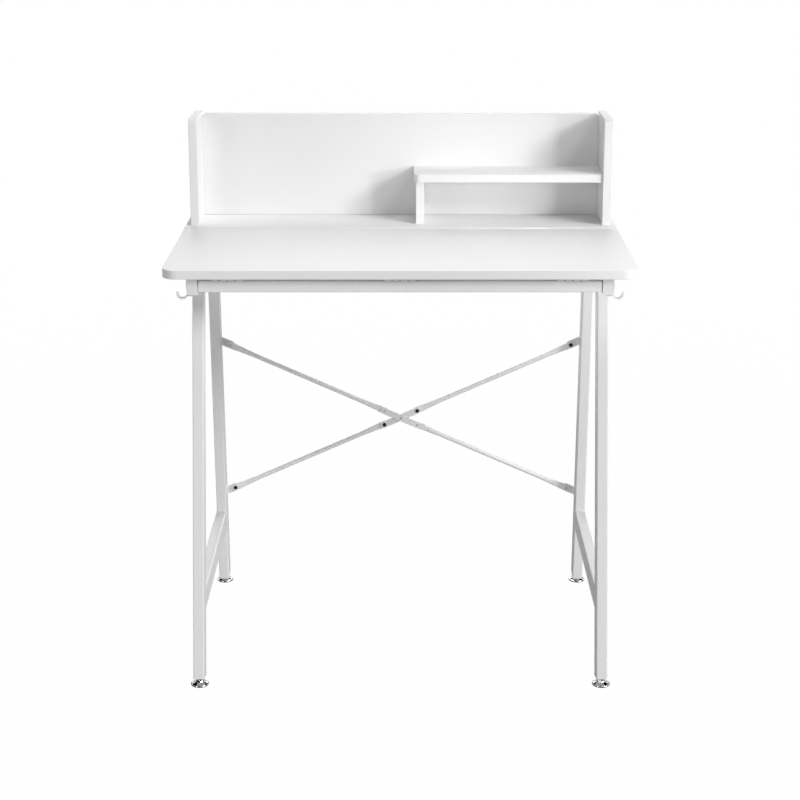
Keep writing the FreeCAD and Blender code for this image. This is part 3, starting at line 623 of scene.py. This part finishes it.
# %% Put them in place of the plain ones
def heads_of(name, axis):
    # Seat, outward direction, head radius, head height, shank radius and length of each plain screw.
    axis = Vector(axis).normalized()
    found = []
    for points in islands(name):
        along = [point.dot(axis) for point in points]
        low, high = min(along), max(along)

        def ring(level):
            close = [point for point, place in zip(points, along) if abs(place - level) < 0.00001]
            middle = sum(close, Vector()) / len(close)
            return middle, max((point - middle).length for point in close)

        low_middle, low_radius = ring(low)
        high_middle, high_radius = ring(high)
        outward = axis if high_radius > low_radius else -axis
        top, radius = (high_middle, high_radius) if high_radius > low_radius else (low_middle, low_radius)
        wide = [point for point in points
                if ((point - top) - outward * (point - top).dot(outward)).length > radius * 0.98]
        head = max((top - point).dot(outward) for point in wide)
        found.append((top - outward * head, outward, radius, head, min(low_radius, high_radius),
                      high - low - head))
    return found


def fasten(name, node, axis, body="frame", finish=zinc_finish, recess=cross_recess):
    whole = bmesh.new()
    pale = whole.faces.layers.float.new("pale")
    for seat, outward, radius, head, shank, length in heads_of(node, axis):
        made_before = len(whole.faces)
        build = screw(radius, head, shank, length, recess)
        turn = outward.to_track_quat("Z", "Y").to_matrix().to_4x4()
        bmesh.ops.transform(build, matrix=Matrix.Translation(seat) @ turn, verts=build.verts)
        mesh = bpy.data.meshes.new("one")
        build.to_mesh(mesh)
        build.free()
        whole.from_mesh(mesh)
        bpy.data.meshes.remove(mesh)
        whole.faces.ensure_lookup_table()
        from_behind = outward.y > 0.5
        for face in whole.faces[made_before:]:
            face[pale] = float(from_behind)
    piece = made_piece(name, whole, [finish], smooth=True)
    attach(piece, body)
    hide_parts(node)
    return piece


leg_line = furthest("rear_leg_right", (0, -1, 5)) - furthest("rear_leg_right", (0, -1, -5))
brace_axis = (0, leg_line.z, -leg_line.y)
fasten("pan_head_screws_brace", "brace_screws", brace_axis, finish=black_finish)
fasten("socket_bolts_frame", "frame_bolts", (1, 0, 0), recess=hexagon_recess)
fasten("pan_head_screws_hooks", "hook_screws", (0, 0, 1))
fasten("pan_head_screws_racks", "rack_screws", (1, 0, 0))
fasten("pan_head_screws_saddles", "prop_saddle_screws", (0, 0, 1), body="desktop")
fasten("long_screws_rear_board", "rear_board_screws", (0, 0, 1))
last = fasten("sunk_screws_hutch", "hutch_base_screws", (0, 0, 1))
print("screw heads placed; faces in the last piece:", len(last.data.polygons))

# %% [markdown]
# ## Weld beads
#
# The legs are welded to the side rails and the stretchers to the legs. A gas-shielded weld leaves a row of
# small overlapping ripples in the corner, painted over with the frame. A bead here starts as a circle, which is
# drawn along the corner in short steps, a little wider and narrower in turn, and its ends are closed.

# %% Beads in the corners
BEAD_RADIUS = 1.9 * MM
BEAD_INSET = 3.2 * MM
RIPPLE = 1.1 * MM
BEAD_TIP = 0.55
BEAD_NARROW = 0.84


def bead(build, start, end, radius):
    run = Vector(end) - Vector(start)
    steps = max(4, int(run.length / RIPPLE))
    turn = run.to_track_quat("Z", "Y").to_matrix().to_4x4()
    ring = bmesh.ops.create_circle(build, cap_ends=False, segments=10, radius=radius * BEAD_TIP,
                                   matrix=Matrix.Translation(start) @ turn)["verts"]
    rim = list({edge for vert in ring for edge in vert.link_edges})
    bmesh.ops.edgeloop_fill(build, edges=rim)
    size = radius * BEAD_TIP
    for step in range(1, steps + 1):
        middle = Vector(start) + run * step / steps
        wanted = radius * (BEAD_TIP if step == steps else (1.0 if step % 2 else BEAD_NARROW))
        geom = bmesh.ops.extrude_edge_only(build, edges=rim)["geom"]
        verts = [item for item in geom if isinstance(item, bmesh.types.BMVert)]
        bmesh.ops.translate(build, verts=verts, vec=run / steps)
        bmesh.ops.scale(build, verts=verts, vec=(wanted / size,) * 3, space=Matrix.Translation(-middle))
        rim = [item for item in geom if isinstance(item, bmesh.types.BMEdge) and item.is_boundary]
        size = wanted
    bmesh.ops.edgeloop_fill(build, edges=rim)


def across_tube(build, corner, side):
    # A bead across the width of a tube, in the corner at the given point.
    low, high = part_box("stretcher_" + side)
    start = (low.x + BEAD_INSET, corner.y, corner.z)
    end = (high.x - BEAD_INSET, corner.y, corner.z)
    bead(build, start, end, BEAD_RADIUS)


for side in ("left", "right"):
    seams = bmesh.new()
    stretcher_node = "stretcher_" + side
    for direction in ((0, -1, 4), (0, 1, 4), (0, -1, -4), (0, 1, -4)):
        across_tube(seams, furthest(stretcher_node, direction), side)
    for leg_node in ("front_leg_" + side, "rear_leg_" + side):
        for direction in ((0, -1, 5), (0, 1, 5)):
            across_tube(seams, furthest(leg_node, direction), side)
    welds = made_piece("weld_beads_" + side, seams, [steel_finish], smooth=True)
    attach(welds, "frame")
print("faces in the weld beads of one side:", len(welds.data.polygons))

# %% [markdown]
# ## Floor, backdrop and light
#
# The picture stands on pure white. The floor answers the camera with white, so no lamp has to be turned up to
# whiten the ground, and it holds back a little of that white under the desk for the shadow. Bright metal would
# look flat if everything round it were white. So shiny surfaces see the white only further out on the floor and
# low behind the desk, and the dim studio elsewhere, as a photographer's black cards would make it. From below,
# the floor is clear, so that the underside can be looked at.

# %% Floor and backdrop
DESK_GROUND = 0.9
WHITE_AGAIN = 3.2
SHINE_AGAIN = 2.6
CARD_SHARE = 0.8
CARD_BLACK = (0.04, 0.04, 0.045)
UNDER_DESK = 0.985


def studio_white(name, shade, keep):
    material = bpy.data.materials.new(name)
    material.use_nodes = True
    tree = material.node_tree
    tree.nodes.clear()
    end = tree.nodes.new("ShaderNodeOutputMaterial")
    start = Wire(tree, None)
    place = start.node("ShaderNodeTexCoord", output="Object")
    distance = start.node("ShaderNodeVectorMath", {"operation": "LENGTH"}, {0: place}, "Value")
    camera_sees = start.node("ShaderNodeLightPath", output="Is Camera Ray")
    metal_sees = start.node("ShaderNodeLightPath", output="Is Glossy Ray")
    for_camera = distance.steps(DESK_GROUND, WHITE_AGAIN) * (1 - keep) + keep
    for_metal = distance.steps(DESK_GROUND, SHINE_AGAIN)
    white = camera_sees * for_camera + metal_sees * for_metal
    matt = start.node("ShaderNodeBsdfDiffuse", {}, {"Color": (*shade, 1)})
    card = start.node("ShaderNodeEmission", {}, {"Color": (*CARD_BLACK, 1), "Strength": 1.0})
    ground = start.node("ShaderNodeMixShader", {}, {0: metal_sees * CARD_SHARE, 1: matt, 2: card})
    glow = start.node("ShaderNodeEmission", {}, {"Color": (1, 1, 1, 1), "Strength": 1.0})
    mixed = start.node("ShaderNodeMixShader", {}, {0: white, 1: ground, 2: glow})
    from_below = start.node("ShaderNodeNewGeometry", output="Backfacing")
    clear = start.node("ShaderNodeBsdfTransparent")
    one_way = start.node("ShaderNodeMixShader", {}, {0: from_below, 1: mixed, 2: clear})
    tree.links.new(one_way.socket, end.inputs["Surface"])
    return material


def sheet_of(name, reach, material):
    build = bmesh.new()
    bmesh.ops.create_grid(build, x_segments=1, y_segments=1, size=reach)
    return made_piece(name, build, [material])


floor_paper = studio_white("floor_paper", (0.72, 0.72, 0.72), UNDER_DESK)
floor = sheet_of("floor", 9, floor_paper)
floor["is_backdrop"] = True
world = bpy.data.worlds.new("studio")
bpy.context.scene.world = world
world.use_nodes = True
world.node_tree.nodes.clear()
sky = Wire(world.node_tree, None)
direction = sky.node("ShaderNodeTexCoord", output="Generated")
backdrop = direction.axis("Y").steps(0.1, 0.7) * (1 - direction.axis("Z").steps(0.32, 0.42))
seen = (sky.node("ShaderNodeLightPath", output="Is Camera Ray")
        + sky.node("ShaderNodeLightPath", output="Is Glossy Ray") * backdrop)
dim = sky.node("ShaderNodeBackground", {}, {"Color": (1, 1, 1, 1), "Strength": 0.0})
bright = sky.node("ShaderNodeBackground", {}, {"Color": (1, 1, 1, 1), "Strength": 1.0})
both = sky.node("ShaderNodeMixShader", {}, {0: seen, 1: dim, 2: bright})
world_end = world.node_tree.nodes.new("ShaderNodeOutputWorld")
world.node_tree.links.new(both.socket, world_end.inputs["Surface"])
print("floor and backdrop ready")

# %% [markdown]
# ## Lamps
#
# The shadow beside the shelf's divider points the way to the key light, which stands far to the right, about 24
# degrees up. A small lamp with a grid in front of it shines low into the shelf from the same side, because the
# cubby is as bright as the rest. Lamps above and behind light the level faces, and a second key further round
# to the right and a weak lamp on the left light the sides of the legs.

# %% Set the lamps
def soft_lamp(name, place, target, size, power, spread=180):
    lamp = bpy.data.objects.new(name, bpy.data.lights.new(name, "AREA"))
    bpy.context.scene.collection.objects.link(lamp)
    lamp.data.shape = "RECTANGLE"
    lamp.data.size = size[0]
    lamp.data.size_y = size[1]
    lamp.data.energy = power
    lamp.data.spread = math.radians(spread)
    lamp.location = place
    lamp.rotation_euler = (Vector(target) - Vector(place)).to_track_quat("-Z", "Y").to_euler()
    return lamp


DESK_MIDDLE = (0, 0, 0.7)
SHELF_MOUTH = (0.18, 0.2, 0.84)
lamps = [soft_lamp("key", (9.8, -7.0, 6.1), DESK_MIDDLE, (2.4, 2.8), 837),
         soft_lamp("high_key", (5.8, -6.8, 9.5), DESK_MIDDLE, (2.4, 2.8), 276),
         soft_lamp("side_key", (11.2, -4.1, 6.1), DESK_MIDDLE, (2.4, 2.8), 236),
         soft_lamp("shelf_spot", (1.69, -1.49, 1.13), SHELF_MOUTH, (0.3, 0.3), 0.16, 14),
         soft_lamp("top_light", (0, -0.2, 4.0), DESK_MIDDLE, (2.0, 2.0), 24),
         soft_lamp("back_light", (0, 2.6, 3.2), DESK_MIDDLE, (2.0, 2.0), 60),
         soft_lamp("rear_fill", (0, 4.2, 0.9), DESK_MIDDLE, (1.6, 1.2), 18),
         soft_lamp("left_fill", (-2.5, -3.0, 1.5), DESK_MIDDLE, (1.4, 1.4), 26)]
print("watts:", {lamp.name: lamp.data.energy for lamp in lamps})

# %% [markdown]
# ## Last step
#
# The size of the finished desk is measured against the loaded one, and how much it grew is printed. The
# finished one may not grow.

# %% Measure and finish
bpy.context.view_layer.update()
final_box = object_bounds()
growth = (final_box[1] - final_box[0]) - (solid_box[1] - solid_box[0])
print("grew by, in metres:", [round(v, 5) for v in growth])
